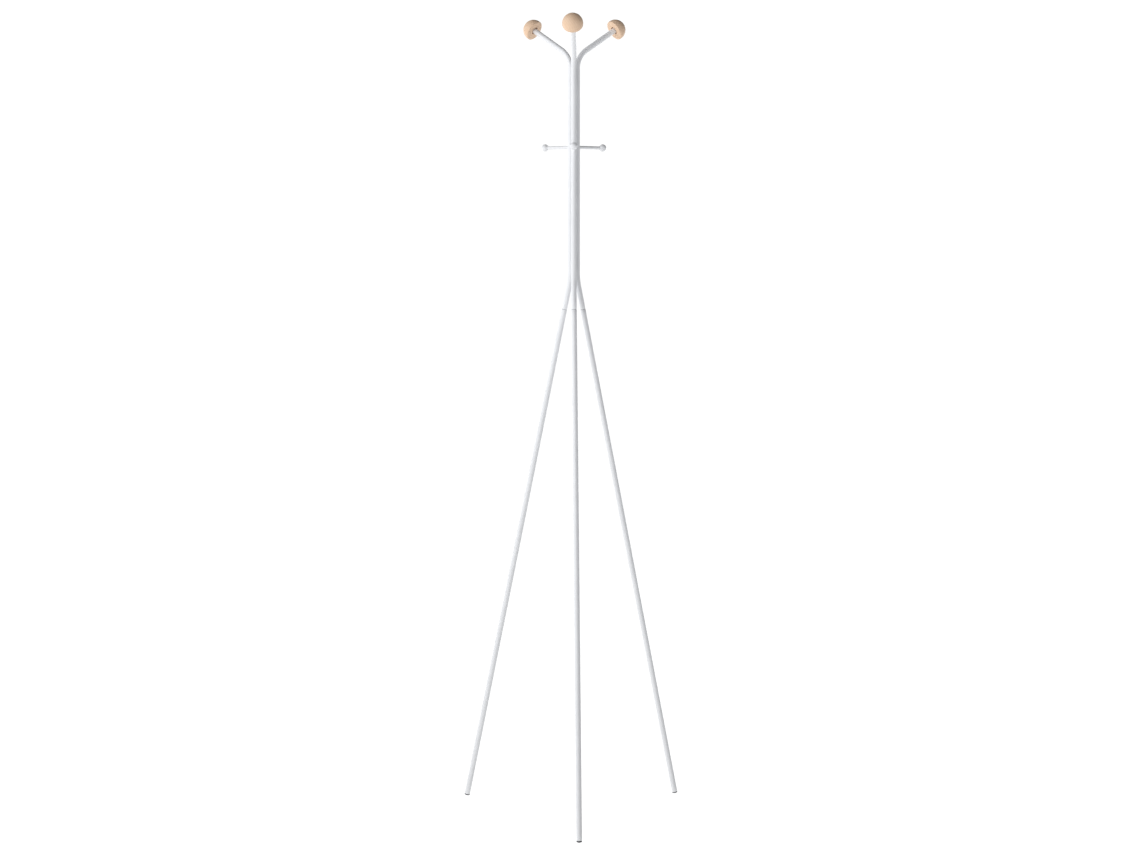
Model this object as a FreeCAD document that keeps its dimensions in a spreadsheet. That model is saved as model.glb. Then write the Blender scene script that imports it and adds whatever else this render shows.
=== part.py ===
import FreeCAD, Part
import math
import os
import Sketcher
from FreeCAD import Placement, Rotation, Vector

# A standing coat rack.  Three thin steel tubes stand close together as one mast.  At the top
# each tube bends outwards into an arm that carries a half-ball beech knob, and at the bottom it
# bends outwards into a leg stub.  A straight lower leg screws onto each stub.  Three short pegs
# with ball ends stand out of the mast between the knobs and the legs.
# The origin is on the floor, at the middle of the footprint.  The front leg points along -Y.

DIMENSIONS = {
    # the bundle of three tubes
    "tube_diameter": 12.0,
    "tube_wall": 1.2,
    "tube_spacing": 15.0,
    "mast_forward": 68.64,
    "mast_middle_height": 1430.0,
    "mast_turn": -2.5,
    # the arms and their knobs
    "arm_bend_height": 1666.0,
    "arm_bend_radius": 48.0,
    "arm_rise": 33.0,
    "arm_turn": -4.0,
    "knob_distance": 113.0,
    "knob_diameter": 45.0,
    "knob_band": 4.0,
    "knob_rim_round": 2.0,
    "knob_socket_diameter": 17.0,
    "knob_socket_depth": 5.0,
    "arm_plug_length": 16.0,
    "knob_thread_diameter": 6.0,
    "knob_stud_length": 22.0,
    "insert_diameter": 9.0,
    "insert_length": 12.0,
    "insert_pocket_depth": 13.0,
    # the legs, the screwed joints in them and their glides
    "leg_bend_height": 1182.0,
    "leg_bend_radius": 140.0,
    "leg_angle": 12.75,
    "seam_height": 1117.0,
    "seam_gap": 0.8,
    "leg_socket_length": 28.0,
    "leg_thread_diameter": 8.0,
    "leg_stud_body_length": 20.0,
    "leg_stud_thread_length": 22.0,
    "glide_stem_length": 14.0,
    "glide_band": 2.0,
    "glide_dome_radius": 10.0,
    "glide_flat_depth": 0.25,
    # the pegs
    "peg_height": 1470.0,
    "peg_rod_diameter": 7.0,
    "peg_ball_diameter": 16.0,
    "peg_reach": 73.0,
    "peg_rod_inside_tube": 3.0,
    "peg_rod_inside_ball": 6.0,
    "peg_weld": 1.3,
    # the pins in the core of the mast, and their welds
    "core_pin_length": 30.0,
    "core_pin_top_height": 1605.0,
    "core_pin_middle_height": 1400.0,
    "core_pin_bottom_height": 1200.0,
    "core_weld_radius": 5.4,
    "core_weld_height": 2.5,
}

# Where each leg points, as an angle about +Z from +X.
LEG_DIRECTIONS = {"front": -90.0, "right": 30.0, "left": 150.0}

X_AXIS = Vector(1, 0, 0)
Y_AXIS = Vector(0, 1, 0)
Z_AXIS = Vector(0, 0, 1)

document = FreeCAD.newDocument("coat_rack")
sheet = document.addObject("Spreadsheet::Sheet", "dims")
for row, (alias, value) in enumerate(DIMENSIONS.items(), start=1):
    sheet.set(f"A{row}", alias)
    sheet.set(f"B{row}", str(value))
    sheet.setAlias(f"B{row}", alias)
document.recompute()

size = DIMENSIONS
bundle_radius = size["tube_spacing"] / math.sqrt(3.0)
leg_slope = math.radians(size["leg_angle"])
tube_radius = size["tube_diameter"] / 2
bore_radius = tube_radius - size["tube_wall"]
pieces = []


# ---------------------------------------------------------------- frames

def shifted(x=0.0, y=0.0, z=0.0):
    return Placement(Vector(x, y, z), Rotation())


def turned(axis, degrees):
    return Placement(Vector(0, 0, 0), Rotation(axis, degrees))


def mast_frame(height=0.0):
    """On the mast's axis, at a height above the floor."""
    return shifted(y=size["mast_forward"], z=height)


def tube_frame(side):
    """On one upper tube's own axis at the floor, with X pointing straight out of the mast."""
    turn = LEG_DIRECTIONS[side] + size["mast_turn"]
    return mast_frame().multiply(turned(Z_AXIS, turn)).multiply(shifted(x=bundle_radius))


def arm_frame(side, distance):
    """On one arm, a distance beyond its bend point, with Z along the arm towards the knob."""
    frame = tube_frame(side).multiply(shifted(z=size["arm_bend_height"]))
    frame = frame.multiply(turned(Z_AXIS, size["arm_turn"] - size["mast_turn"]))
    frame = frame.multiply(turned(Y_AXIS, 90.0 - size["arm_rise"]))
    return frame.multiply(shifted(z=distance))


def leg_frame(side, distance):
    """On one leg, a distance below its bend point, with Z up along the leg."""
    frame = tube_frame(side).multiply(shifted(z=size["leg_bend_height"]))
    frame = frame.multiply(turned(Z_AXIS, -size["mast_turn"]))
    frame = frame.multiply(turned(Y_AXIS, -size["leg_angle"]))
    return frame.multiply(shifted(z=-distance))


def peg_frame(side, distance):
    """On one peg, a distance out from its tube's axis, with Z along the peg."""
    frame = tube_frame(side).multiply(shifted(x=distance, z=size["peg_height"]))
    return frame.multiply(turned(Y_AXIS, 90.0))


# ---------------------------------------------------------------- drawing helpers

def bind(thing, **expressions):
    for name, expression in expressions.items():
        thing.setExpression(name, expression)


def keep(piece, label, placement):
    """Name a finished sub-part, put it in its place and list it for export."""
    piece.Label = label
    piece.Placement = placement
    pieces.append(piece)


def new_body(name):
    return document.addObject("PartDesign::Body", name)


def new_sketch(body, name, role, offset=None):
    planes = [plane for plane in body.Origin.OriginFeatures if plane.Role == role]
    sketch = body.newObject("Sketcher::SketchObject", name)
    sketch.AttachmentSupport = [(planes[0], "")]
    sketch.MapMode = "FlatFace"
    if offset:
        sketch.AttachmentOffset = offset
    return sketch


def constrain(sketch, name, expression, *parts):
    """Add a dimension to a sketch and bind it to the sheet."""
    index = sketch.addConstraint(Sketcher.Constraint(*parts))
    sketch.renameConstraint(index, name)
    sketch.setExpression(f"Constraints.{name}", expression)


def centred_circle(sketch, name, radius, expression):
    circle = sketch.addGeometry(Part.Circle(Vector(0, 0, 0), Z_AXIS, radius))
    sketch.addConstraint(Sketcher.Constraint("Coincident", circle, 3, -1, 1))
    constrain(sketch, name, expression, "Radius", circle, radius)
    return circle


def ring_sketch(body, name, outer, inner, outer_radius, inner_radius, offset=None):
    sketch = new_sketch(body, name, "XY_Plane", offset)
    centred_circle(sketch, "outer", outer_radius, outer)
    if inner:
        centred_circle(sketch, "inner", inner_radius, inner)
    return sketch


def cylinder(name, radius, height, placement=None):
    shape = document.addObject("Part::Cylinder", name)
    bind(shape, Radius=radius, Height=height)
    if placement:
        shape.Placement = placement
    return shape


def cut(name, base, tool):
    shape = document.addObject("Part::Cut", name)
    shape.Base = base
    shape.Tool = tool
    return shape


def fuse(name, shapes):
    shape = document.addObject("Part::MultiFuse", name)
    shape.Shapes = shapes
    return shape


# ---------------------------------------------------------------- tubes

OUTER_RADIUS = "dims.tube_diameter / 2"
INNER_RADIUS = "dims.tube_diameter / 2 - dims.tube_wall"

# The arm's end lies on the floor of the knob's socket.
arm_end_distance = size["knob_distance"] - size["knob_band"] + size["knob_socket_depth"]
ARM_END = "(dims.knob_distance - dims.knob_band + dims.knob_socket_depth)"

# Distances below the leg's bend point, along the leg.
seam_distance = (size["leg_bend_height"] - size["seam_height"]) / math.cos(leg_slope)
glide_centre_height = size["glide_dome_radius"] - size["glide_flat_depth"]
glide_centre_distance = (size["leg_bend_height"] - glide_centre_height) / math.cos(leg_slope)
dome_base = math.sqrt(size["glide_dome_radius"] ** 2 - tube_radius ** 2)
leg_end_distance = glide_centre_distance + dome_base - size["glide_band"]
LEG_LENGTH = ("(dims.seam_height - dims.glide_dome_radius + dims.glide_flat_depth)"
              " / cos(dims.leg_angle * 1 deg)"
              " + sqrt(dims.glide_dome_radius ^ 2 - (dims.tube_diameter / 2) ^ 2)"
              " - dims.glide_band - dims.seam_gap / 2")


def bent_path(body, name, turn, turn_expression, bend):
    """Half of an upper tube's centre line: up or down the mast, round its bend and straight on."""
    sketch = new_sketch(body, name, "XZ_Plane", turned(Y_AXIS, turn))
    sketch.setExpression("AttachmentOffset.Rotation.Angle", turn_expression)
    middle = size["mast_middle_height"]
    angle, radius, way = bend["angle"], bend["radius"], bend["way"]
    start = Vector(0, bend["tangent_height"], 0)
    centre = Vector(radius, bend["tangent_height"], 0)
    finish = centre + Vector(-radius * math.cos(angle), way * radius * math.sin(angle), 0)
    heading = Vector(math.sin(angle), way * math.cos(angle), 0)
    end = finish + heading * bend["straight"]
    circle = Part.Circle(centre, Z_AXIS, radius)
    if way > 0:
        arc = Part.ArcOfCircle(circle, math.pi - angle, math.pi)
    else:
        arc = Part.ArcOfCircle(circle, math.pi, math.pi + angle)
    mast_end, stub_end = (2, 1) if way > 0 else (1, 2)
    mast = sketch.addGeometry(Part.LineSegment(Vector(0, middle, 0), start))
    bend_arc = sketch.addGeometry(arc)
    stub = sketch.addGeometry(Part.LineSegment(finish, end))
    sketch.addConstraint(Sketcher.Constraint("PointOnObject", mast, 1, -2))
    sketch.addConstraint(Sketcher.Constraint("Vertical", mast))
    sketch.addConstraint(Sketcher.Constraint("Tangent", mast, 2, bend_arc, mast_end))
    sketch.addConstraint(Sketcher.Constraint("Tangent", bend_arc, stub_end, stub, 1))
    constrain(sketch, "middle", "dims.mast_middle_height", "DistanceY", -1, 1, mast, 1, middle)
    constrain(sketch, "tangent_height", bend["tangent_expression"],
              "DistanceY", -1, 1, mast, 2, bend["tangent_height"])
    constrain(sketch, "radius", bend["radius_expression"], "Radius", bend_arc, radius)
    constrain(sketch, "run", bend["run_expression"], "DistanceX", stub, 1, stub, 2, end.x - finish.x)
    constrain(sketch, "rise", bend["rise_expression"], "DistanceY",
              *((stub, 1, stub, 2) if way > 0 else (stub, 2, stub, 1)), abs(end.y - finish.y))
    return sketch


def arm_bend():
    angle = math.radians(90.0 - size["arm_rise"])
    tangent = size["arm_bend_radius"] * math.tan(angle / 2)
    turn = "(90 - dims.arm_rise) * 1 deg"
    straight_words = f"({ARM_END} - dims.arm_bend_radius * tan({turn} / 2))"
    return {
        "way": 1,
        "angle": angle,
        "radius": size["arm_bend_radius"],
        "tangent_height": size["arm_bend_height"] - tangent,
        "straight": arm_end_distance - tangent,
        "radius_expression": "dims.arm_bend_radius",
        "tangent_expression": f"dims.arm_bend_height - dims.arm_bend_radius * tan({turn} / 2)",
        "run_expression": f"{straight_words} * sin({turn})",
        "rise_expression": f"{straight_words} * cos({turn})",
    }


def leg_bend():
    tangent = size["leg_bend_radius"] * math.tan(leg_slope / 2)
    turn = "dims.leg_angle * 1 deg"
    straight_words = (f"((dims.leg_bend_height - dims.seam_height) / cos({turn})"
                      f" - dims.seam_gap / 2 - dims.leg_bend_radius * tan({turn} / 2))")
    return {
        "way": -1,
        "angle": leg_slope,
        "radius": size["leg_bend_radius"],
        "tangent_height": size["leg_bend_height"] + tangent,
        "straight": seam_distance - size["seam_gap"] / 2 - tangent,
        "radius_expression": "dims.leg_bend_radius",
        "tangent_expression": f"dims.leg_bend_height + dims.leg_bend_radius * tan({turn} / 2)",
        "run_expression": f"{straight_words} * sin({turn})",
        "rise_expression": f"{straight_words} * cos({turn})",
    }


def add_pipe(body, name, profile, path):
    pipe = body.newObject("PartDesign::AdditivePipe", name)
    pipe.Profile = profile
    pipe.Spine = (path, [f"Edge{number}" for number in (1, 2, 3)])
    return pipe


def upper_tube(side):
    """A tube bent at both ends, with a hole in its outer wall for its peg."""
    body = new_body(f"upper_tube_{side}_body")
    profile = ring_sketch(body, f"tube_ring_{side}", OUTER_RADIUS, INNER_RADIUS,
                          tube_radius, bore_radius, shifted(z=size["mast_middle_height"]))
    profile.setExpression("AttachmentOffset.Base.z", "dims.mast_middle_height")
    arm_path = bent_path(body, f"arm_path_{side}", size["arm_turn"] - size["mast_turn"],
                         "dims.arm_turn - dims.mast_turn", arm_bend())
    leg_path = bent_path(body, f"stub_path_{side}", -size["mast_turn"],
                         "-dims.mast_turn", leg_bend())
    add_pipe(body, f"arm_pipe_{side}", profile, arm_path)
    document.recompute()
    add_pipe(body, f"stub_pipe_{side}", profile, leg_path)
    document.recompute()
    uncut_volume = body.Shape.Volume

    hole = new_sketch(body, f"peg_hole_{side}", "YZ_Plane")
    radius = size["peg_rod_diameter"] / 2
    circle = hole.addGeometry(Part.Circle(Vector(0, size["peg_height"], 0), Z_AXIS, radius))
    hole.addConstraint(Sketcher.Constraint("PointOnObject", circle, 3, -2))
    constrain(hole, "radius", "dims.peg_rod_diameter / 2", "Radius", circle, radius)
    constrain(hole, "height", "dims.peg_height", "DistanceY", -1, 1, circle, 3, size["peg_height"])
    pocket = body.newObject("PartDesign::Pocket", f"peg_pocket_{side}")
    pocket.Profile = hole
    pocket.Reversed = True
    pocket.setExpression("Length", "dims.tube_diameter")
    document.recompute()
    if not body.Shape.Volume < uncut_volume:
        raise RuntimeError(f"the peg hole of {body.Label} cut nothing")
    keep(body, f"upper_tube_{side}", tube_frame(side))


def lower_leg(side):
    """A straight tube from the screwed joint down to the glide."""
    body = new_body(f"lower_leg_{side}_body")
    profile = ring_sketch(body, f"leg_ring_{side}", OUTER_RADIUS, INNER_RADIUS,
                          tube_radius, bore_radius)
    pad = body.newObject("PartDesign::Pad", f"leg_pad_{side}")
    pad.Profile = profile
    pad.setExpression("Length", LEG_LENGTH)
    keep(body, f"lower_leg_{side}", leg_frame(side, leg_end_distance))


# ---------------------------------------------------------------- leg joint and glide

def leg_socket(side):
    """A threaded plug pressed into the stub of an upper tube, standing out by half the seam."""
    plug = cylinder(f"socket_plug_{side}", INNER_RADIUS, "dims.leg_socket_length")
    thread = cylinder(f"socket_thread_{side}", "dims.leg_thread_diameter / 2",
                      "dims.leg_socket_length")
    keep(cut(f"leg_socket_{side}_cut", plug, thread), f"leg_socket_{side}",
         leg_frame(side, seam_distance))


def leg_stud(side):
    """A plug pressed into a lower leg, with the threaded stud that screws into the socket."""
    plug = cylinder(f"stud_plug_{side}", INNER_RADIUS, "dims.leg_stud_body_length",
                    shifted(z=-size["leg_stud_body_length"]))
    thread = cylinder(f"stud_thread_{side}", "dims.leg_thread_diameter / 2",
                      "dims.leg_stud_thread_length")
    keep(fuse(f"leg_stud_{side}_fuse", [plug, thread]), f"leg_stud_{side}",
         leg_frame(side, seam_distance))


def foot_glide(side):
    """A plastic glide: a stem in the leg, a band as wide as the leg and a domed end with a flat
    that lies on the floor.  Its frame is at the dome's centre."""
    band_bottom = -dome_base
    band_top = band_bottom + size["glide_band"]
    stem = cylinder(f"glide_stem_{side}", INNER_RADIUS, "dims.glide_stem_length",
                    shifted(z=band_top))
    band = cylinder(f"glide_band_{side}", OUTER_RADIUS, "dims.glide_band", shifted(z=band_bottom))
    ball = document.addObject("Part::Sphere", f"glide_ball_{side}")
    bind(ball, Radius="dims.glide_dome_radius")
    below = cylinder(f"glide_below_{side}", OUTER_RADIUS, "dims.glide_dome_radius",
                     shifted(z=band_bottom - size["glide_dome_radius"]))
    dome = document.addObject("Part::Common", f"glide_dome_{side}")
    dome.Base = ball
    dome.Tool = below
    whole = fuse(f"glide_whole_{side}", [stem, band, dome])
    floor = document.addObject("Part::Box", f"glide_floor_{side}")
    bind(floor, Length="dims.tube_diameter * 2", Width="dims.tube_diameter * 2",
         Height="dims.tube_diameter")
    half = size["tube_diameter"]
    upright = turned(Y_AXIS, size["leg_angle"])
    floor.Placement = upright.multiply(shifted(-half, -half, -glide_centre_height - half))
    keep(cut(f"foot_glide_{side}_cut", whole, floor), f"foot_glide_{side}",
         leg_frame(side, glide_centre_distance))


# ---------------------------------------------------------------- knob and its fixings

def round_edge(shape, height, radius):
    """The name of the level round edge at a height and with a radius."""
    for number, edge in enumerate(shape.Edges, start=1):
        if edge.Degenerated or edge.Curve.TypeId != "Part::GeomCircle":
            continue
        curve = edge.Curve
        level = abs(curve.Center.z - height) < 1e-6 and abs(curve.Axis.z) > 0.999
        if level and abs(curve.Radius - radius) < 1e-6:
            return f"Edge{number}"
    raise RuntimeError("no such round edge")


def add_pocket(body, name, sketch, depth):
    before = body.Shape.Volume
    pocket = body.newObject("PartDesign::Pocket", name)
    pocket.Profile = sketch
    pocket.Reversed = True
    pocket.setExpression("Length", depth)
    document.recompute()
    if not body.Shape.Volume < before:
        raise RuntimeError(f"{name} cut nothing")


def knob(side):
    """A half-ball with a short straight band, a rounded rim and a socket for the arm's end.
    Its frame is at the ball's centre, with Z through the top of the dome."""
    body = new_body(f"knob_{side}_body")
    outline = new_sketch(body, f"knob_outline_{side}", "XZ_Plane")
    radius, band = size["knob_diameter"] / 2, size["knob_band"]
    top, rim = Vector(0, radius, 0), Vector(radius, 0, 0)
    corner, foot = Vector(radius, -band, 0), Vector(0, -band, 0)
    dome = outline.addGeometry(Part.ArcOfCircle(Part.Circle(Vector(0, 0, 0), Z_AXIS, radius),
                                                0, math.pi / 2))
    wall = outline.addGeometry(Part.LineSegment(rim, corner))
    face = outline.addGeometry(Part.LineSegment(corner, foot))
    axis = outline.addGeometry(Part.LineSegment(foot, top))
    outline.addConstraint(Sketcher.Constraint("Coincident", dome, 3, -1, 1))
    outline.addConstraint(Sketcher.Constraint("Coincident", dome, 1, wall, 1))
    outline.addConstraint(Sketcher.Constraint("Coincident", wall, 2, face, 1))
    outline.addConstraint(Sketcher.Constraint("Coincident", face, 2, axis, 1))
    outline.addConstraint(Sketcher.Constraint("Coincident", axis, 2, dome, 2))
    outline.addConstraint(Sketcher.Constraint("PointOnObject", wall, 1, -1))
    outline.addConstraint(Sketcher.Constraint("Vertical", wall))
    outline.addConstraint(Sketcher.Constraint("Horizontal", face))
    outline.addConstraint(Sketcher.Constraint("PointOnObject", face, 2, -2))
    outline.addConstraint(Sketcher.Constraint("PointOnObject", axis, 2, -2))
    constrain(outline, "radius", "dims.knob_diameter / 2", "Radius", dome, radius)
    constrain(outline, "band", "dims.knob_band", "DistanceY", wall, 2, wall, 1, band)
    turn = body.newObject("PartDesign::Revolution", f"knob_turning_{side}")
    turn.Profile = outline
    turn.ReferenceAxis = (outline, ["V_Axis"])
    turn.Angle = 360.0
    document.recompute()

    rounding = body.newObject("PartDesign::Fillet", f"knob_rim_{side}")
    rounding.Base = (turn, [round_edge(turn.Shape, -band, radius)])
    rounding.setExpression("Radius", "dims.knob_rim_round")
    document.recompute()

    under = shifted(z=-band)
    socket = ring_sketch(body, f"knob_socket_{side}", "dims.knob_socket_diameter / 2", None,
                         size["knob_socket_diameter"] / 2, None, under)
    socket.setExpression("AttachmentOffset.Base.z", "-dims.knob_band")
    add_pocket(body, f"knob_socket_pocket_{side}", socket, "dims.knob_socket_depth")
    hole = ring_sketch(body, f"knob_hole_{side}", "dims.insert_diameter / 2", None,
                       size["insert_diameter"] / 2, None, under)
    hole.setExpression("AttachmentOffset.Base.z", "-dims.knob_band")
    add_pocket(body, f"knob_hole_pocket_{side}", hole,
               "dims.knob_socket_depth + dims.insert_pocket_depth")
    keep(body, f"knob_{side}", arm_frame(side, size["knob_distance"]))


def knob_insert(side):
    """A threaded metal sleeve pressed into the knob, flush with the floor of its socket."""
    sleeve = cylinder(f"insert_sleeve_{side}", "dims.insert_diameter / 2", "dims.insert_length")
    thread = cylinder(f"insert_thread_{side}", "dims.knob_thread_diameter / 2",
                      "dims.insert_length")
    keep(cut(f"knob_insert_{side}_cut", sleeve, thread), f"knob_insert_{side}",
         arm_frame(side, arm_end_distance))


def arm_plug(side):
    """A threaded plug pressed into the arm's end, flush with it."""
    plug = cylinder(f"arm_plug_outside_{side}", INNER_RADIUS, "dims.arm_plug_length")
    thread = cylinder(f"arm_plug_thread_{side}", "dims.knob_thread_diameter / 2",
                      "dims.arm_plug_length")
    keep(cut(f"arm_plug_{side}_cut", plug, thread), f"arm_plug_{side}",
         arm_frame(side, arm_end_distance - size["arm_plug_length"]))


def knob_stud(side):
    """A headless screw that joins the arm's plug to the knob's insert."""
    screw = cylinder(f"knob_stud_{side}_screw", "dims.knob_thread_diameter / 2",
                     "dims.knob_stud_length")
    keep(screw, f"knob_stud_{side}",
         arm_frame(side, arm_end_distance - size["knob_stud_length"] / 2))


# ---------------------------------------------------------------- pegs

ball_distance = size["peg_reach"] - bundle_radius
rod_start = -size["peg_rod_inside_tube"]
rod_end = ball_distance - size["peg_ball_diameter"] / 2 + size["peg_rod_inside_ball"]
ROD_LENGTH = ("dims.peg_reach - dims.tube_spacing / sqrt(3) - dims.peg_ball_diameter / 2"
              " + dims.peg_rod_inside_ball + dims.peg_rod_inside_tube")


def peg_rod(side):
    """A round rod through the tube's outer wall."""
    rod = cylinder(f"peg_rod_{side}_bar", "dims.peg_rod_diameter / 2", ROD_LENGTH)
    keep(rod, f"peg_rod_{side}", peg_frame(side, rod_start))


def peg_ball(side):
    """A ball with a blind hole for the rod's end.  Its frame is at the ball's centre."""
    ball = document.addObject("Part::Sphere", f"peg_ball_whole_{side}")
    bind(ball, Radius="dims.peg_ball_diameter / 2")
    hole = cylinder(f"peg_ball_hole_{side}", "dims.peg_rod_diameter / 2",
                    "dims.peg_ball_diameter",
                    shifted(z=rod_end - ball_distance - size["peg_ball_diameter"]))
    keep(cut(f"peg_ball_{side}_cut", ball, hole), f"peg_ball_{side}",
         peg_frame(side, ball_distance))


def peg_weld(side):
    """The ring of weld around the rod where it enters the tube."""
    bead = document.addObject("Part::Cone", f"peg_weld_bead_{side}")
    bind(bead, Radius1="dims.peg_rod_diameter / 2 + dims.peg_weld * 1.5",
         Radius2="dims.peg_rod_diameter / 2 + 0.1",
         Height="dims.tube_diameter / 2 + dims.peg_weld")
    rod = cylinder(f"peg_weld_rod_{side}", "dims.peg_rod_diameter / 2", "dims.tube_diameter")
    tube = cylinder(f"peg_weld_tube_{side}", OUTER_RADIUS, "dims.tube_diameter * 2",
                    turned(Y_AXIS, 90.0).multiply(shifted(z=-size["tube_diameter"])))
    ring = cut(f"peg_weld_ring_{side}", bead, fuse(f"peg_weld_inside_{side}", [rod, tube]))
    ring.Placement = peg_frame(side, 0.0)
    return ring


# ---------------------------------------------------------------- core of the mast

PIN_RADIUS = "(dims.tube_spacing / sqrt(3) - dims.tube_diameter / 2)"


def core_pin(level):
    """A short pin between the three tubes, touching all of them."""
    pin = cylinder(f"core_pin_{level}_bar", PIN_RADIUS, "dims.core_pin_length")
    keep(pin, f"core_pin_{level}", mast_frame(size[f"core_pin_{level}_height"]))


def core_weld(name, height):
    """The weld that fills the hollow between the three tubes at one end of a pin."""
    disc = cylinder(f"{name}_disc", "dims.core_weld_radius", "dims.core_weld_height")
    tubes = []
    for side, direction in LEG_DIRECTIONS.items():
        place = turned(Z_AXIS, direction + size["mast_turn"]).multiply(shifted(x=bundle_radius))
        tubes.append(cylinder(f"{name}_{side}", OUTER_RADIUS, "dims.core_weld_height", place))
    weld = cut(name, disc, fuse(f"{name}_tubes", tubes))
    weld.Placement = mast_frame(height)
    return weld


def group(name, label, members):
    compound = document.addObject("Part::Compound", name)
    compound.Links = members
    keep(compound, label, Placement())


# ---------------------------------------------------------------- the whole stand

for side in LEG_DIRECTIONS:
    upper_tube(side)
    lower_leg(side)
    leg_socket(side)
    leg_stud(side)
    foot_glide(side)
    knob(side)
    knob_insert(side)
    arm_plug(side)
    knob_stud(side)
    peg_rod(side)
    peg_ball(side)

core_welds = []
for level in ("top", "middle", "bottom"):
    core_pin(level)
    pin_bottom = size[f"core_pin_{level}_height"]
    pin_top = pin_bottom + size["core_pin_length"]
    core_welds.append(core_weld(f"core_weld_above_{level}", pin_top))
    core_welds.append(core_weld(f"core_weld_below_{level}",
                                pin_bottom - size["core_weld_height"]))
group("core_weld_group", "core_welds", core_welds)
group("peg_weld_group", "peg_welds", [peg_weld(side) for side in LEG_DIRECTIONS])

document.recompute()

for thing in document.Objects:
    if "Invalid" in thing.State or "Error" in thing.State:
        raise RuntimeError(f"{thing.Label} failed: {thing.State}")

os.makedirs("parts", exist_ok=True)
for piece in pieces:
    if piece.Shape.isNull() or not piece.Shape.isValid():
        raise RuntimeError(f"{piece.Label} has no valid shape")
    piece.Shape.exportStep(f"parts/{piece.Label}.step")
print(f"{len(pieces)} sub-parts written")
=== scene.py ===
import math

import bmesh
import bpy
from mathutils import Matrix, Vector


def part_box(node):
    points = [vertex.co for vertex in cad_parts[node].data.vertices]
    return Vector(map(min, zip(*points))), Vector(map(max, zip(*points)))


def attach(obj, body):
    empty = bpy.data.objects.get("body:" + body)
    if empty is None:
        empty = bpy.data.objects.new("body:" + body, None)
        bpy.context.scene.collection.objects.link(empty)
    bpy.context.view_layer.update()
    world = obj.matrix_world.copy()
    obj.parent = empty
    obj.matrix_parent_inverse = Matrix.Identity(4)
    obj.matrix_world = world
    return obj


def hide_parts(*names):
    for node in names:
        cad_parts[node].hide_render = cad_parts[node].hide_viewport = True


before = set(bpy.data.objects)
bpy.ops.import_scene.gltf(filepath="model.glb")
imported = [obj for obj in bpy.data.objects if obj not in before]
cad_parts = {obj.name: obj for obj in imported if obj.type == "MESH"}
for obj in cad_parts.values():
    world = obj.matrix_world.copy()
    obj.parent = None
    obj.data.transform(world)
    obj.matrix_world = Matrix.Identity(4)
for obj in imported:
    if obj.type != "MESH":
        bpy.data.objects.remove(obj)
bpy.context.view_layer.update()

# A standing coat rack, in metres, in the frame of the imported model: the origin is on the floor
# at the middle of the footprint, -Y is the front and +Z is up.  The painted tubes and pegs, the
# beech knobs and the plastic glides are made here.  The metal plugs, studs, sleeves and the pins
# in the mast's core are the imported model's own, with finishes from here.

# ---------------------------------------------------------------- sizes

MM = 0.001

TUBE_RADIUS = 6.0 * MM
BORE_RADIUS = 4.8 * MM
TUBE_SPACING = 15.0 * MM
BUNDLE_RADIUS = TUBE_SPACING / math.sqrt(3.0)
TUBE_LIP = 0.35 * MM
LIP_STEPS = 4

LEG_DIRECTIONS = {"front": -90.0, "right": 30.0, "left": 150.0}
MAST_TURN = -2.5
ARM_TURN = -4.0

ARM_BEND_HEIGHT = 1666.0 * MM
ARM_BEND_RADIUS = 48.0 * MM
ARM_BEND_ANGLE = math.radians(57.0)
BEND_FLATTENING = 0.025

KNOB_DISTANCE = 113.0 * MM
KNOB_RADIUS = 22.5 * MM
KNOB_BAND = 4.0 * MM
KNOB_RIM = 2.0 * MM
SOCKET_RADIUS = 8.5 * MM
SOCKET_DEPTH = 5.0 * MM
SOCKET_LIP = 0.5 * MM
INSERT_RADIUS = 4.5 * MM
INSERT_POCKET = 13.0 * MM
ARM_END = KNOB_DISTANCE - KNOB_BAND + SOCKET_DEPTH

LEG_BEND_HEIGHT = 1182.0 * MM
LEG_BEND_RADIUS = 140.0 * MM
LEG_ANGLE = math.radians(12.75)
SEAM_HEIGHT = 1117.0 * MM
SEAM_GAP = 0.8 * MM
SEAM_DISTANCE = (LEG_BEND_HEIGHT - SEAM_HEIGHT) / math.cos(LEG_ANGLE)

GLIDE_DOME_RADIUS = 10.0 * MM
GLIDE_FLAT_DEPTH = 0.25 * MM
GLIDE_BAND = 2.0 * MM
GLIDE_STEM = 14.0 * MM
GLIDE_DOME_BASE = math.sqrt(GLIDE_DOME_RADIUS ** 2 - TUBE_RADIUS ** 2)
GLIDE_HEIGHT = GLIDE_DOME_RADIUS - GLIDE_FLAT_DEPTH
GLIDE_DISTANCE = (LEG_BEND_HEIGHT - GLIDE_HEIGHT) / math.cos(LEG_ANGLE)
LEG_END = GLIDE_DISTANCE + GLIDE_DOME_BASE - GLIDE_BAND

PEG_HEIGHT = 1470.0 * MM
PEG_REACH = 73.0 * MM
PEG_ROD_RADIUS = 3.5 * MM
PEG_BALL_RADIUS = 8.0 * MM
PEG_FILLET = 0.9 * MM
PEG_WELD = 1.3 * MM
PEG_BALL_DISTANCE = PEG_REACH - BUNDLE_RADIUS
PEG_ROD_START = -3.0 * MM
PEG_ROD_END = PEG_BALL_DISTANCE - PEG_BALL_RADIUS + 6.0 * MM

TUBE_SEGMENTS = 56
KNOB_SEGMENTS = 128
SMALL_SEGMENTS = 48
RING_SPACING = 12.0 * MM
SHARP_ANGLE = math.radians(40.0)

PITH_DISTANCE = 52.0 * MM
RING_WIDTH = 4.4 * MM
WAVE_SCALE = 0.314 / RING_WIDTH

# How each knob's grain lies: its turn about the knob's axis, its tilt, and where in the log the
# knob was cut.
GRAINS = {"front": (math.radians(-33.0), 0.25, 1.0),
          "right": (math.radians(65.0), -0.35, 2.0),
          "left": (math.radians(20.0), 0.5, 3.0)}

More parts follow.
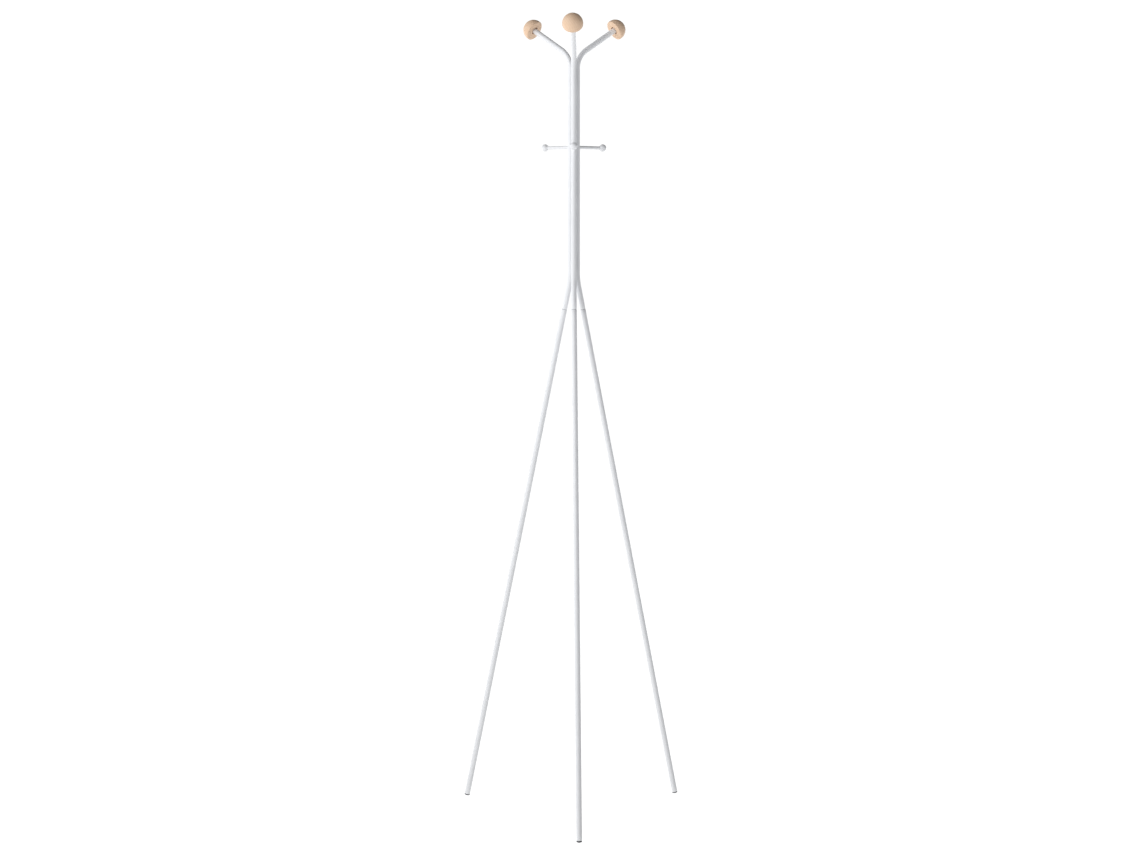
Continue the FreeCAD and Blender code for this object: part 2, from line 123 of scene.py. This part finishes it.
PAINT_DEEP = (0.845, 0.853, 0.872, 1)
PAINT_PALE = (0.880, 0.886, 0.900, 1)
BEECH_DEEP = (0.835, 0.605, 0.430, 1)
BEECH_PALE = (0.885, 0.660, 0.482, 1)
BEECH_LATE = (0.745, 0.475, 0.290, 1)
BEECH_STREAK = (0.735, 0.475, 0.300, 1)
BEECH_FLECK = (0.560, 0.340, 0.200, 1)
BEECH_PORE = (0.600, 0.390, 0.240, 1)
PLASTIC_BLACK = (0.072, 0.074, 0.080, 1)
PLASTIC_SCUFF = (0.130, 0.132, 0.138, 1)
# Zinc plating set darker than bright plating: painted shade, so the leg sockets that show in the seam
# gaps read as dark as the gaps' shadow.
ZINC_PALE_WITH_PAINTED_SHADE = (0.42, 0.43, 0.45, 1)
ZINC_DARK_WITH_PAINTED_SHADE = (0.30, 0.31, 0.33, 1)
BRASS_PALE = (0.80, 0.60, 0.30, 1)
BRASS_DARK = (0.66, 0.46, 0.21, 1)
WHITE = (1.0, 1.0, 1.0, 1)

FLOOR_SIZE = 7.0
FLOOR_GLOW = 0.76
FLOOR_TONE = (0.30, 0.30, 0.30, 1)
ROOM_COLOUR = (0.95, 0.97, 1.0, 1)
WALL_LIGHT = 0.82
BACK_LIGHT = 2.0
CEILING_LEFT = 0.84
CEILING_RIGHT = 0.0
BACKDROP_LIGHT = 1.05

LIGHT_WIDTH = 1.6
LIGHT_HEIGHT = 1.4
LIGHT_SPREAD = math.radians(130.0)
LIGHT_TARGET = Vector((0.0, 0.07, 1.2))
SIDE_LIGHT = {"place": Vector((-3.86, -0.97, 2.2)), "power": 14.0}
FRONT_LIGHT = {"place": Vector((-2.57, -3.00, 2.2)), "power": 22.0}

CAMERA_LENS = 70.35
CAMERA_SENSOR = 36.0
CAMERA_DISTANCE = 4.8907
CAMERA_HEIGHT = 1.2796
CAMERA_ASIDE = math.radians(2.514)
CAMERA_LEFT = math.radians(0.097)
CAMERA_DOWN = math.radians(4.938)
CAMERA_REACH = 100.0

pin_low, pin_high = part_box("core_pin_middle")
MAST_AXIS = Vector(((pin_low.x + pin_high.x) / 2, (pin_low.y + pin_high.y) / 2, 0.0))


# ---------------------------------------------------------------- frames

def shift(x=0.0, y=0.0, z=0.0):
    return Matrix.Translation((x, y, z))


def turn(angle, axis):
    return Matrix.Rotation(angle, 4, axis)


def tube_frame(side):
    """On one upper tube's own axis at the floor, with X pointing straight out of the mast."""
    direction = math.radians(LEG_DIRECTIONS[side] + MAST_TURN)
    return Matrix.Translation(MAST_AXIS) @ turn(direction, "Z") @ shift(x=BUNDLE_RADIUS)


def arm_frame(side, distance):
    """On one arm, a distance beyond its bend point, with Z along the arm towards the knob."""
    aside = turn(math.radians(ARM_TURN - MAST_TURN), "Z")
    return (tube_frame(side) @ shift(z=ARM_BEND_HEIGHT) @ aside
            @ turn(ARM_BEND_ANGLE, "Y") @ shift(z=distance))


def leg_frame(side, distance):
    """On one leg, a distance below its bend point, with Z up along the leg."""
    aside = turn(math.radians(-MAST_TURN), "Z")
    return (tube_frame(side) @ shift(z=LEG_BEND_HEIGHT) @ aside
            @ turn(-LEG_ANGLE, "Y") @ shift(z=-distance))


def peg_frame(side, distance):
    """On one peg, a distance out from its tube's axis, with Z along the peg."""
    return tube_frame(side) @ shift(x=distance, z=PEG_HEIGHT) @ turn(math.pi / 2, "Y")


# ---------------------------------------------------------------- mesh making

def make_object(name, points, faces, place=None):
    """A smooth mesh object whose corners sharper than SHARP_ANGLE stay crisp."""
    mesh = bpy.data.meshes.new(name)
    if place:
        points = [place @ Vector(point) for point in points]
    mesh.from_pydata([tuple(point) for point in points], [], faces)
    work = bmesh.new()
    work.from_mesh(mesh)
    bmesh.ops.recalc_face_normals(work, faces=work.faces)
    work.to_mesh(mesh)
    work.free()
    mesh.shade_smooth()
    mesh.set_sharp_from_angle(angle=SHARP_ANGLE)
    made = bpy.data.objects.new(name, mesh)
    bpy.context.scene.collection.objects.link(made)
    return made


def join_rings(count, size, closed):
    """Four-sided faces between each ring of points and the next, and back to the first if closed."""
    faces = []
    for ring in range(count if closed else count - 1):
        here, there = ring * size, (ring + 1) % count * size
        for step in range(size):
            beside = (step + 1) % size
            faces.append((here + step, here + beside, there + beside, there + step))
    return faces


def arc(centre, radius, start, finish, steps):
    """Points of an arc as (radius, height) pairs, with its angles in degrees from the radius axis."""
    points = []
    for step in range(steps + 1):
        angle = math.radians(start + (finish - start) * step / steps)
        points.append((centre[0] + radius * math.cos(angle), centre[1] + radius * math.sin(angle)))
    return points


def lathe(name, outline, segments, place):
    """A solid turned about Z from (radius, height) points that start and finish on the axis."""
    points, faces = [], []
    inner = outline[1:-1]
    for radius, height in inner:
        for step in range(segments):
            angle = 2 * math.pi * step / segments
            points.append((radius * math.cos(angle), radius * math.sin(angle), height))
    faces += join_rings(len(inner), segments, False)
    first, last = len(points), len(points) + 1
    points += [(0.0, 0.0, outline[0][1]), (0.0, 0.0, outline[-1][1])]
    final = (len(inner) - 1) * segments
    for step in range(segments):
        beside = (step + 1) % segments
        faces.append((first, beside, step))
        faces.append((last, final + step, final + beside))
    return make_object(name, points, faces, place)


def lip(place, wall, inward, outward):
    """Rings that round one end of a wall off, from the end face to the full wall."""
    rings = []
    for step in range(LIP_STEPS):
        angle = math.pi / 2 * step / LIP_STEPS
        rings.append((place @ shift(z=inward * TUBE_LIP * (1 - math.cos(angle))), 0.0,
                      wall - outward * TUBE_LIP * (1 - math.sin(angle))))
    return rings


def sweep(name, stations):
    """A hollow tube along its stations, which are (frame, flattening) pairs, with rounded ends."""
    rings = []
    for wall, way in ((TUBE_RADIUS, 1), (BORE_RADIUS, -1)):
        run = stations[::way]
        rings += lip(run[0][0], wall, way, way)
        rings += [(place, flat, wall) for place, flat in run[1:-1]]
        rings += lip(run[-1][0], wall, -way, way)[::-1]
    points = []
    for place, flat, radius in rings:
        for step in range(TUBE_SEGMENTS):
            angle = 2 * math.pi * step / TUBE_SEGMENTS
            points.append(place @ Vector((radius * (1 - flat) * math.cos(angle),
                                          radius * (1 + flat / 2) * math.sin(angle), 0.0)))
    return make_object(name, points, join_rings(len(rings), TUBE_SEGMENTS, True))


# ---------------------------------------------------------------- tubes

def spaced(length):
    """Even distances from above 0 up to a length, about a ring spacing apart."""
    steps = max(1, round(length / RING_SPACING))
    return [length * step / steps for step in range(1, steps + 1)]


def bend_stations(aside, bend_height, radius, angle, end, way, flattening):
    """Stations from the start of a bend to the tube's end, upwards for way 1, downwards for -1."""
    tangent = radius * math.tan(angle / 2)
    plane = turn(aside, "Z")
    start = shift(x=radius, z=bend_height - way * tangent)
    steps = max(8, round(math.degrees(angle) / 2.5))
    stations = []
    for step in range(steps + 1):
        part = step / steps
        corner = turn(way * angle * part, "Y")
        place = plane @ start @ corner @ shift(x=-radius) @ plane.inverted()
        stations.append((place, flattening * math.sin(math.pi * part)))
    last = stations[-1][0]
    return stations + [(last @ shift(z=way * run), 0.0) for run in spaced(end - tangent)]


def upper_tube(side):
    """A tube bent at both ends, from the seam in its leg up to the socket of its knob."""
    arm = bend_stations(math.radians(ARM_TURN - MAST_TURN), ARM_BEND_HEIGHT, ARM_BEND_RADIUS,
                        ARM_BEND_ANGLE, ARM_END, 1, BEND_FLATTENING)
    stub = bend_stations(math.radians(-MAST_TURN), LEG_BEND_HEIGHT, LEG_BEND_RADIUS,
                         LEG_ANGLE, SEAM_DISTANCE - SEAM_GAP / 2, -1, 0.0)
    mast_bottom = stub[0][0].translation.z
    mast_length = arm[0][0].translation.z - mast_bottom
    mast = [(shift(z=mast_bottom + run), 0.0) for run in spaced(mast_length)[:-1]]
    stations = stub[::-1] + mast + arm
    placed = [(tube_frame(side) @ place, flat) for place, flat in stations]
    return sweep(f"tube_upper_{side}", placed)


def lower_leg(side):
    """A straight tube from the seam down to the glide."""
    top = SEAM_DISTANCE + SEAM_GAP / 2
    length = LEG_END - top
    stations = [(leg_frame(side, LEG_END - run), 0.0) for run in [0.0] + spaced(length)]
    return sweep(f"tube_leg_{side}", stations)


# ---------------------------------------------------------------- knobs, glides and pegs

def knob(side):
    """A half-ball with a short straight band, a rounded rim and a socket with a softened lip."""
    floor = SOCKET_DEPTH - KNOB_BAND
    ceiling = floor + INSERT_POCKET
    rim_centre = (KNOB_RADIUS - KNOB_RIM, KNOB_RIM - KNOB_BAND)
    outline = [(0.0, ceiling), (INSERT_RADIUS, ceiling), (INSERT_RADIUS, floor),
               (SOCKET_RADIUS, floor)]
    outline += arc((SOCKET_RADIUS + SOCKET_LIP, SOCKET_LIP - KNOB_BAND), SOCKET_LIP, 180, 270, 6)
    outline += [(SOCKET_RADIUS + SOCKET_LIP + (rim_centre[0] - SOCKET_RADIUS - SOCKET_LIP) * part,
                 -KNOB_BAND) for part in (0.25, 0.5, 0.75)]
    outline += arc(rim_centre, KNOB_RIM, 270, 360, 14)
    outline += arc((0.0, 0.0), KNOB_RADIUS, 0, 90, 56)
    return lathe(f"knob_dome_{side}", outline, KNOB_SEGMENTS, arm_frame(side, KNOB_DISTANCE))


def glide(side):
    """A stem, a band as wide as the leg and a domed end worn flat where it lies on the floor."""
    band_bottom, soft = -GLIDE_DOME_BASE, 0.3 * MM
    band_top = band_bottom + GLIDE_BAND
    stem_top = band_top + GLIDE_STEM
    slope = math.degrees(math.asin(TUBE_RADIUS / GLIDE_DOME_RADIUS))
    outline = [(0.0, stem_top), (BORE_RADIUS - 0.6 * MM, stem_top), (BORE_RADIUS, stem_top - 0.6 * MM),
               (BORE_RADIUS, band_top)]
    outline += arc((TUBE_RADIUS - soft, band_top - soft), soft, 90, 0, 4)
    outline += arc((TUBE_RADIUS - soft, band_bottom + 0.5 * soft), soft, 0, slope - 90, 4)
    outline += arc((0.0, 0.0), GLIDE_DOME_RADIUS, slope - 91.5, -90, 24)
    made = lathe(f"glide_{side}", outline, SMALL_SEGMENTS, leg_frame(side, GLIDE_DISTANCE))
    for point in made.data.vertices:
        point.co.z = max(point.co.z, 0.0)
    return made


def peg_rod(side):
    """A round rod from inside the tube to inside the ball."""
    soft = 0.4 * MM
    length = PEG_ROD_END - PEG_ROD_START
    outline = [(0.0, 0.0), (PEG_ROD_RADIUS - soft, 0.0)]
    outline += [(PEG_ROD_RADIUS, soft + (length - 2 * soft) * step / 12) for step in range(13)]
    outline += [(PEG_ROD_RADIUS - soft, length), (0.0, length)]
    return lathe(f"peg_bar_{side}", outline, SMALL_SEGMENTS, peg_frame(side, PEG_ROD_START))


def peg_ball(side):
    """A ball with a blind hole for the rod and a small fillet of paint around it."""
    hole_floor = PEG_ROD_END - PEG_BALL_DISTANCE
    reach = PEG_BALL_RADIUS + PEG_FILLET
    fillet_radius = PEG_ROD_RADIUS + PEG_FILLET
    fillet_height = -math.sqrt(reach ** 2 - fillet_radius ** 2)
    contact = math.degrees(math.atan2(fillet_height, fillet_radius))
    outline = [(0.0, hole_floor), (PEG_ROD_RADIUS, hole_floor)]
    outline += arc((fillet_radius, fillet_height), PEG_FILLET, 180, 180 + contact, 6)
    outline += arc((0.0, 0.0), PEG_BALL_RADIUS, contact, 90, 40)[1:]
    return lathe(f"peg_end_{side}", outline, 64, peg_frame(side, PEG_BALL_DISTANCE))


def peg_weld_rings():
    """The three welds where the rods enter the tubes, each a hollow fillet that hugs its tube."""
    steps, around, sunk = 8, 72, 0.08 * MM
    points, faces = [], []
    for side in LEG_DIRECTIONS:
        place = peg_frame(side, 0.0)
        first = len(points)
        for step in range(around):
            angle = 2 * math.pi * step / around
            width = PEG_WELD * (1.0 + 0.08 * math.sin(9 * angle) + 0.05 * math.sin(4 * angle + 1.0))
            section = []
            for part in range(steps + 1):
                bend = math.pi / 2 * part / steps
                section.append((PEG_ROD_RADIUS + width * (1 - math.cos(bend)),
                                width * (1 - math.sin(bend))))
            section += [(PEG_ROD_RADIUS + width, -sunk), (PEG_ROD_RADIUS - sunk, -sunk),
                        (PEG_ROD_RADIUS - sunk, width)]
            for radius, proud in section:
                surface = math.sqrt(TUBE_RADIUS ** 2 - (radius * math.sin(angle)) ** 2)
                points.append(place @ Vector((radius * math.cos(angle), radius * math.sin(angle),
                                              surface + proud)))
        size = steps + 4
        faces += [tuple(first + corner for corner in face)
                  for face in join_rings(around, size, True)]
    return make_object("peg_weld_rings", points, faces)


# ---------------------------------------------------------------- materials

class Nodes:
    """Nodes in one emptied tree.  An input given as a node or socket is linked, others are set."""

    def __init__(self, owner):
        owner.use_nodes = True
        self.tree = owner.node_tree
        self.tree.nodes.clear()

    def add(self, kind, inputs=None, **settings):
        made = self.tree.nodes.new("ShaderNode" + kind)
        for key, value in settings.items():
            setattr(made, key, value)
        for key, value in (inputs or {}).items():
            self.feed(made.inputs[key], value)
        return made

    def feed(self, socket, value):
        if isinstance(value, bpy.types.Node):
            value = value.outputs[0]
        if isinstance(value, bpy.types.NodeSocket):
            self.tree.links.new(value, socket)
        else:
            socket.default_value = value

    def spread(self, value, low, high, start=0.0, finish=1.0, **settings):
        """A value that runs from start to finish as another runs from low to high."""
        return self.add("MapRange", {"Value": value, "From Min": low, "From Max": high,
                                     "To Min": start, "To Max": finish}, **settings)


class Finish(Nodes):
    """A new material and what its nodes are made with."""

    def __init__(self, name):
        self.material = bpy.data.materials.new(name)
        super().__init__(self.material)

    def place(self, location=(0, 0, 0), rotation=(0, 0, 0), scale=(1, 1, 1), vector=None):
        """The object's own coordinates, or a given vector, moved, turned and scaled."""
        if vector is None:
            vector = self.add("TexCoord").outputs["Object"]
        return self.add("Mapping", {"Vector": vector, "Location": location,
                                    "Rotation": rotation, "Scale": scale})

    def noise(self, vector, scale, detail=3.0, roughness=0.5):
        return self.add("TexNoise", {"Vector": vector, "Scale": scale, "Detail": detail,
                                     "Roughness": roughness})

    def blend(self, factor, first, second):
        mixer = self.add("Mix", data_type="RGBA")
        self.feed(mixer.inputs[0], factor)
        self.feed(mixer.inputs[6], first)
        self.feed(mixer.inputs[7], second)
        return mixer.outputs[2]

    def bump(self, height, depth, below=None):
        inputs = {"Height": height, "Distance": depth, "Strength": 1.0}
        if below:
            inputs["Normal"] = below
        return self.add("Bump", inputs)

    def surface(self, inputs):
        shader = self.add("BsdfPrincipled", inputs)
        self.add("OutputMaterial", {"Surface": shader})
        return self.material


def white_paint():
    """Cool white powder paint: faint orange peel, a slight unevenness of tone and of gloss."""
    finish = Finish("white_paint")
    here = finish.place()
    broad = finish.noise(here, scale=14.0, detail=2.0)
    peel = finish.noise(here, scale=620.0, detail=2.0, roughness=0.45)
    swell = finish.noise(here, scale=150.0, detail=2.0)
    colour = finish.blend(finish.spread(broad, 0.3, 0.7), PAINT_DEEP, PAINT_PALE)
    rough = finish.spread(swell, 0.3, 0.7, start=0.40, finish=0.46)
    waves = finish.bump(swell, depth=0.03 * MM)
    return finish.surface({"Base Color": colour, "Roughness": rough, "IOR": 1.5,
                           "Normal": finish.bump(peel, depth=0.008 * MM, below=waves)})


def beech_rings(finish, along):
    """How far towards its late wood each growth ring is, from 0 to 1, with a slight wander."""
    wander = finish.noise(finish.place(scale=(0.15, 1.0, 1.0), vector=along), scale=70.0, detail=2.0)
    offset = finish.add("VectorMath", {0: wander.outputs["Color"], "Scale": 0.0022},
                        operation="SCALE")
    bent = finish.add("VectorMath", {0: along, 1: offset}, operation="ADD")
    rings = finish.add("TexWave", {"Vector": bent, "Scale": WAVE_SCALE, "Distortion": 0.0},
                       wave_type="RINGS", rings_direction="X", wave_profile="SAW")
    return finish.spread(rings.outputs["Fac"], 0.25, 1.0)


def beech_flecks(finish, along):
    """1 in the slim ray flecks, which about a third of the cells hold, and 0 between them."""
    cells = finish.add("TexVoronoi", {"Vector": finish.place(scale=(0.16, 1.0, 0.9), vector=along),
                                      "Scale": 2100.0, "Randomness": 1.0})
    chosen = finish.spread(cells.outputs["Color"], 0.30, 0.36)
    core = finish.spread(cells.outputs["Distance"], 0.40, 0.15)
    return finish.add("Math", {0: chosen, 1: core}, operation="MULTIPLY")


def beech(side, grain_turn, tilt, seed):
    """Pale beech: straight growth lines, slim ray flecks, fine pores and a matt lacquer."""
    finish = Finish(f"beech_{side}")
    to_knob = arm_frame(side, KNOB_DISTANCE).inverted()
    start = finish.place(location=to_knob.translation, rotation=to_knob.to_euler())
    turned = finish.place(rotation=(tilt, 0.0, grain_turn), vector=start)
    along = finish.place(location=(seed * 0.37, PITH_DISTANCE, 0.006 * seed), vector=turned)
    broad = finish.noise(along, scale=60.0, detail=2.0)
    fibre = finish.noise(finish.place(scale=(0.04, 1.0, 1.0), vector=along),
                         scale=3200.0, roughness=0.6)
    streak = finish.noise(finish.place(scale=(0.05, 1.0, 1.0), vector=along),
                          scale=800.0, roughness=0.6)
    late = beech_rings(finish, along)
    fleck = beech_flecks(finish, along)
    colour = finish.blend(finish.spread(broad, 0.3, 0.7), BEECH_DEEP, BEECH_PALE)
    for value, low, high, most, tint in ((late, 0.0, 1.0, 0.34, BEECH_LATE),
                                         (streak, 0.40, 0.75, 0.30, BEECH_STREAK),
                                         (fleck, 0.0, 1.0, 0.20, BEECH_FLECK),
                                         (fibre, 0.52, 0.78, 0.20, BEECH_PORE)):
        colour = finish.blend(finish.spread(value, low, high, finish=most), colour, tint)
    rough = finish.spread(streak, 0.3, 0.7, start=0.52, finish=0.66)
    pores = finish.bump(fibre, depth=-0.003 * MM)
    return finish.surface({"Base Color": colour, "Roughness": rough, "IOR": 1.36,
                           "Normal": finish.bump(fleck, depth=-0.003 * MM, below=pores)})


def moulded_plastic():
    """Dark grey nylon with the fine grain of its mould and a few scuffs."""
    finish = Finish("glide_plastic")
    here = finish.place()
    grain = finish.noise(here, scale=2200.0, detail=2.0)
    scuffs = finish.noise(here, scale=300.0, detail=4.0, roughness=0.7)
    colour = finish.blend(finish.spread(scuffs, 0.45, 0.7), PLASTIC_BLACK, PLASTIC_SCUFF)
    rough = finish.spread(scuffs, 0.3, 0.7, start=0.38, finish=0.56)
    return finish.surface({"Base Color": colour, "Roughness": rough, "IOR": 1.5,
                           "Normal": finish.bump(grain, depth=0.02 * MM)})


def cut_metal(name, pale, dark, polished, rough):
    """Plated metal: a cloudy tone, fine turning marks and uneven polish."""
    finish = Finish(name)
    here = finish.place()
    cloud = finish.noise(here, scale=420.0)
    marks = finish.noise(finish.place(scale=(1.0, 1.0, 9.0), vector=here), scale=900.0, detail=2.0)
    colour = finish.blend(finish.spread(cloud, 0.3, 0.7), pale, dark)
    polish = finish.spread(marks, 0.3, 0.7, start=polished, finish=rough)
    return finish.surface({"Base Color": colour, "Metallic": 1.0, "Roughness": polish,
                           "Normal": finish.bump(marks, depth=0.01 * MM)})


def use(thing, material):
    thing.data.materials.clear()
    thing.data.materials.append(material)


# ---------------------------------------------------------------- the stand

def show(piece, node, material):
    """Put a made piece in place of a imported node, with its finish."""
    use(piece, material)
    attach(piece, "root")
    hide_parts(node)


paint = white_paint()
plastic = moulded_plastic()
# The zinc's darker tones are painted shade for the seam gaps, where the leg sockets show between the
# tubes.
zinc_with_painted_shade = cut_metal("zinc_steel", ZINC_PALE_WITH_PAINTED_SHADE, ZINC_DARK_WITH_PAINTED_SHADE, polished=0.40, rough=0.58)
brass = cut_metal("brass", BRASS_PALE, BRASS_DARK, polished=0.26, rough=0.42)

for side in LEG_DIRECTIONS:
    show(upper_tube(side), f"upper_tube_{side}", paint)
    show(lower_leg(side), f"lower_leg_{side}", paint)
    show(knob(side), f"knob_{side}", beech(side, *GRAINS[side]))
    show(glide(side), f"foot_glide_{side}", plastic)
    show(peg_rod(side), f"peg_rod_{side}", paint)
    show(peg_ball(side), f"peg_ball_{side}", paint)
show(peg_weld_rings(), "peg_welds", paint)

# The sockets, studs and plugs get the zinc whose darker tone is painted shade for the seam gaps.
for name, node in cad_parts.items():
    if name.startswith(("leg_socket", "leg_stud", "arm_plug", "knob_stud")):
        use(node, zinc_with_painted_shade)
    elif name.startswith("knob_insert"):
        use(node, brass)
    elif name.startswith("core_"):
        use(node, paint)


# ---------------------------------------------------------------- floor, light and camera

def studio_floor():
    """A wide pale floor that glows a little, and that the camera sees white to its far edge."""
    finish = Finish("studio_floor")
    seen = finish.add("LightPath").outputs["Is Camera Ray"]
    strength = finish.spread(seen, 0.0, 1.0, start=FLOOR_GLOW, finish=1.0)
    glow = finish.add("Emission", {"Color": WHITE, "Strength": strength})
    matt = finish.add("BsdfDiffuse", {"Color": FLOOR_TONE})
    finish.add("OutputMaterial", {"Surface": finish.add("AddShader", {0: glow, 1: matt})})
    half = FLOOR_SIZE / 2
    corners = [(-half, -half, 0.0), (half, -half, 0.0), (half, half, 0.0), (-half, half, 0.0)]
    floor = make_object("studio_floor", corners, [(0, 1, 2, 3)])
    use(floor, finish.material)


def studio_world():
    """White to the camera.  To the stand it is a room with pale walls, palest behind, under a
    ceiling that is pale only on the left."""
    world = bpy.data.worlds.new("studio")
    bpy.context.scene.world = world
    nodes = Nodes(world)
    generated = nodes.add("TexCoord").outputs["Generated"]
    direction = nodes.add("SeparateXYZ", {0: generated}).outputs
    wall = nodes.spread(direction["Y"], 0.0, 1.0, start=WALL_LIGHT, finish=BACK_LIGHT,
                        interpolation_type="SMOOTHSTEP")
    ceiling = nodes.spread(direction["X"], -1.0, 0.1, start=CEILING_LEFT, finish=CEILING_RIGHT)
    height = nodes.spread(direction["Z"], 0.06, 0.29)
    strength = nodes.add("Mix", {0: height, 2: wall, 3: ceiling})
    room = nodes.add("Background", {"Color": ROOM_COLOUR, "Strength": strength})
    backdrop = nodes.add("Background", {"Color": WHITE, "Strength": BACKDROP_LIGHT})
    seen = nodes.add("LightPath").outputs["Is Camera Ray"]
    nodes.add("OutputWorld", {"Surface": nodes.add("MixShader", {0: seen, 1: room, 2: backdrop})})


def soft_light(name, place, power):
    """A wide panel of light that faces the upper part of the stand."""
    light = bpy.data.lights.new(name, "AREA")
    light.shape = "RECTANGLE"
    light.size = LIGHT_WIDTH
    light.size_y = LIGHT_HEIGHT
    light.energy = power
    light.spread = LIGHT_SPREAD
    panel = bpy.data.objects.new(name, light)
    panel.location = place
    panel.rotation_euler = (LIGHT_TARGET - place).to_track_quat("-Z", "Y").to_euler()
    panel.visible_camera = False
    bpy.context.scene.collection.objects.link(panel)


def studio_camera():
    """In front of the stand, a little to its left, looking slightly down at its middle."""
    lens = bpy.data.cameras.new("camera")
    lens.lens = CAMERA_LENS
    lens.sensor_width = CAMERA_SENSOR
    lens.clip_end = CAMERA_REACH
    camera = bpy.data.objects.new("camera", lens)
    offset = Vector((-CAMERA_DISTANCE * math.sin(CAMERA_ASIDE),
                     -CAMERA_DISTANCE * math.cos(CAMERA_ASIDE), CAMERA_HEIGHT))
    camera.location = MAST_AXIS + offset
    camera.rotation_euler = (math.pi / 2 - CAMERA_DOWN, 0.0, CAMERA_LEFT - CAMERA_ASIDE)
    bpy.context.scene.collection.objects.link(camera)
    bpy.context.scene.camera = camera


studio_floor()
studio_world()
soft_light("side_light", **SIDE_LIGHT)
soft_light("front_light", **FRONT_LIGHT)
studio_camera()
bpy.context.scene.view_settings.view_transform = "Standard"
